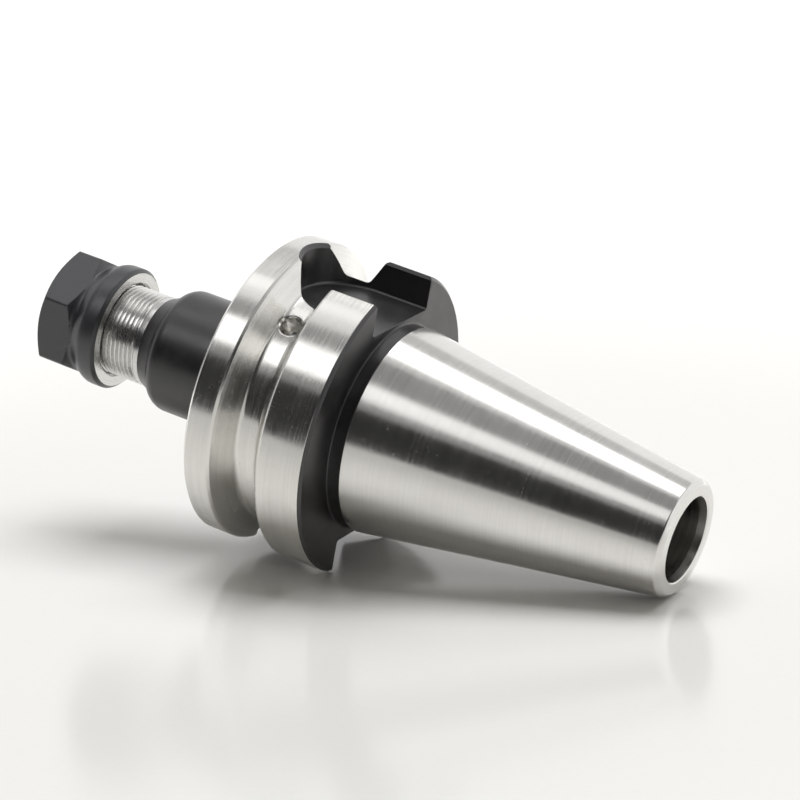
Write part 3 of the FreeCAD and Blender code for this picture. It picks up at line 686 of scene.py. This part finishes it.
def paper_floor():
    mesh = bpy.data.meshes.new("paper_floor")
    shape = bmesh.new()
    bmesh.ops.create_circle(shape, cap_ends=True, segments=96, radius=4.0)
    shape.to_mesh(mesh)
    shape.free()
    floor = bpy.data.objects.new("paper_floor", mesh)
    floor.location.z = cad_box[0][2] - 0.00003
    bpy.context.scene.collection.objects.link(floor)
    material, board, sockets = finish_board("white_paper", Roughness=0.16, Specular_IOR_Level=0.5)
    point = board.node("ShaderNodeTexCoord").outputs["Object"]
    grain = board.noise(point, 900.0, 3.0, 0.6)
    board.feed(sockets["Base Color"], board.mix(grain, (0.91, 0.91, 0.905, 1), (0.94, 0.94, 0.935, 1)))
    bump = board.node("ShaderNodeBump", {"Height": grain, "Strength": 0.1, "Distance": 0.02 * MM})
    board.feed(sockets["Normal"], bump.outputs["Normal"])
    # Painted glow and painted shade: for camera and mirror rays the floor glows. The glow is faint within 7 cm of the
    # floor's centre beneath the holder and stronger out to 30 cm, so the floor round the holder is painted darker than
    # the floor further off.
    painted_glow = board.span(board.vector("LENGTH", point), 0.07, 0.3, 0.02, 0.35)
    sockets["Emission Color"].default_value = (1, 1, 1, 1)
    board.feed(sockets["Emission Strength"], board.reckon("MULTIPLY", painted_glow, background_rays(board)))
    mesh.materials.append(material)


def way(azimuth, elevation):
    """A direction from the holder; azimuth turns from straight behind towards the tail."""
    azimuth, elevation = math.radians(azimuth), math.radians(elevation)
    return Vector((math.sin(azimuth) * math.cos(elevation), math.cos(azimuth) * math.cos(elevation),
                   math.sin(elevation)))


def studio_card(name, azimuths, elevations, distance, tone, flag=False):
    """A curved card that the metal mirrors, spanning the given directions; a flag also holds off light."""
    steps = 12
    vertices, faces = [], []
    for row in range(steps + 1):
        for column in range(steps + 1):
            vertices.append(way(azimuths[0] + (azimuths[1] - azimuths[0]) * column / steps,
                                elevations[0] + (elevations[1] - elevations[0]) * row / steps) * distance)
    for row in range(steps):
        for column in range(steps):
            here = row * (steps + 1) + column
            faces.append((here, here + 1, here + steps + 2, here + steps + 1))
    mesh = bpy.data.meshes.new(name)
    mesh.from_pydata(vertices, [], faces)
    card = bpy.data.objects.new(name, mesh)
    bpy.context.scene.collection.objects.link(card)
    material, board, sockets = finish_board(name, Roughness=1.0, Specular_IOR_Level=0.0)
    sockets["Base Color"].default_value = (0, 0, 0, 1)
    sockets["Emission Color"].default_value = (tone, tone, tone, 1)
    sockets["Emission Strength"].default_value = 1.0
    mesh.materials.append(material)
    card.visible_camera = card.visible_transmission = False
    card.visible_diffuse = card.visible_shadow = flag


def softbox(name, azimuth, elevation, distance, width, height, radiance, mirrored=True):
    """A rectangular lamp that either shows in the metal or lights the paper and the dull surfaces."""
    lamp = bpy.data.lights.new(name, "AREA")
    lamp.shape = "RECTANGLE"
    lamp.size, lamp.size_y = width, height
    lamp.energy = radiance * math.pi * width * height
    box = bpy.data.objects.new(name, lamp)
    box.location = way(azimuth, elevation) * distance
    box.rotation_euler = way(azimuth, elevation).to_track_quat("Z", "Y").to_euler()
    box.visible_camera = False
    box.visible_glossy, box.visible_diffuse = mirrored, not mirrored
    bpy.context.scene.collection.objects.link(box)


paper_floor()
studio_card("ceiling_card", (-90, 90), (38, 90), 1.3, 0.62)
studio_card("front_ceiling_card", (90, 270), (28, 90), 1.3, 0.3)
studio_card("dark_front_card", (110, 250), (-8, 33), 0.45, 0.03, flag=True)
softbox("rear_softbox", 18, 70, 0.9, 0.42, 0.32, 1.9)
softbox("left_softbox", -88, 72, 0.9, 0.34, 0.36, 0.85)
softbox("front_softbox", 203, 52, 0.9, 0.38, 0.3, 1.6)
softbox("front_fill", 165, 52, 0.9, 0.45, 0.28, 0.75)
softbox("overhead_softbox", 0, 80, 1.0, 0.9, 0.6, 5.2, mirrored=False)

world = bpy.data.worlds.new("white_studio")
world.use_nodes = True
world.node_tree.nodes.clear()
sky = Board(world.node_tree)
backdrop = background_rays(sky)
background = sky.node("ShaderNodeBackground", {
    "Color": sky.mix(backdrop, (1, 0.95, 0.82, 1), (1, 1, 1, 1)),
    "Strength": sky.span(backdrop, 0.0, 1.0, 0.28, 1.0)})
sky.feed(sky.node("ShaderNodeOutputWorld").inputs["Surface"], background.outputs[0])
bpy.context.scene.world = world

# ------------------------------------------------------------ camera

CAMERA_AZIMUTH = math.radians(29.743)
CAMERA_ELEVATION = math.radians(16.062)
CAMERA_ROLL = math.radians(2.908)
CAMERA_DISTANCE = 0.5858
CAMERA_LENS = 179.863
ACROSS, ABOVE = 1.174 * MM, 4.312 * MM

ahead = Vector((-math.sin(CAMERA_AZIMUTH) * math.cos(CAMERA_ELEVATION),
                math.cos(CAMERA_AZIMUTH) * math.cos(CAMERA_ELEVATION), -math.sin(CAMERA_ELEVATION)))
level = Vector((math.cos(CAMERA_AZIMUTH), math.sin(CAMERA_AZIMUTH), 0))
right = Matrix.Rotation(CAMERA_ROLL, 3, ahead) @ level
up = right.cross(ahead)
lens = bpy.data.cameras.new("camera")
lens.lens = CAMERA_LENS
lens.sensor_width = 36
lens.clip_start = 0.01
camera = bpy.data.objects.new("camera", lens)
camera.matrix_world = Matrix((right, up, -ahead)).transposed().to_4x4()
camera.location = gauge_centre + level * ACROSS + level.cross(ahead) * ABOVE - ahead * CAMERA_DISTANCE
bpy.context.scene.collection.objects.link(camera)
bpy.context.scene.camera = camera
bpy.context.scene.view_settings.view_transform = "Standard"
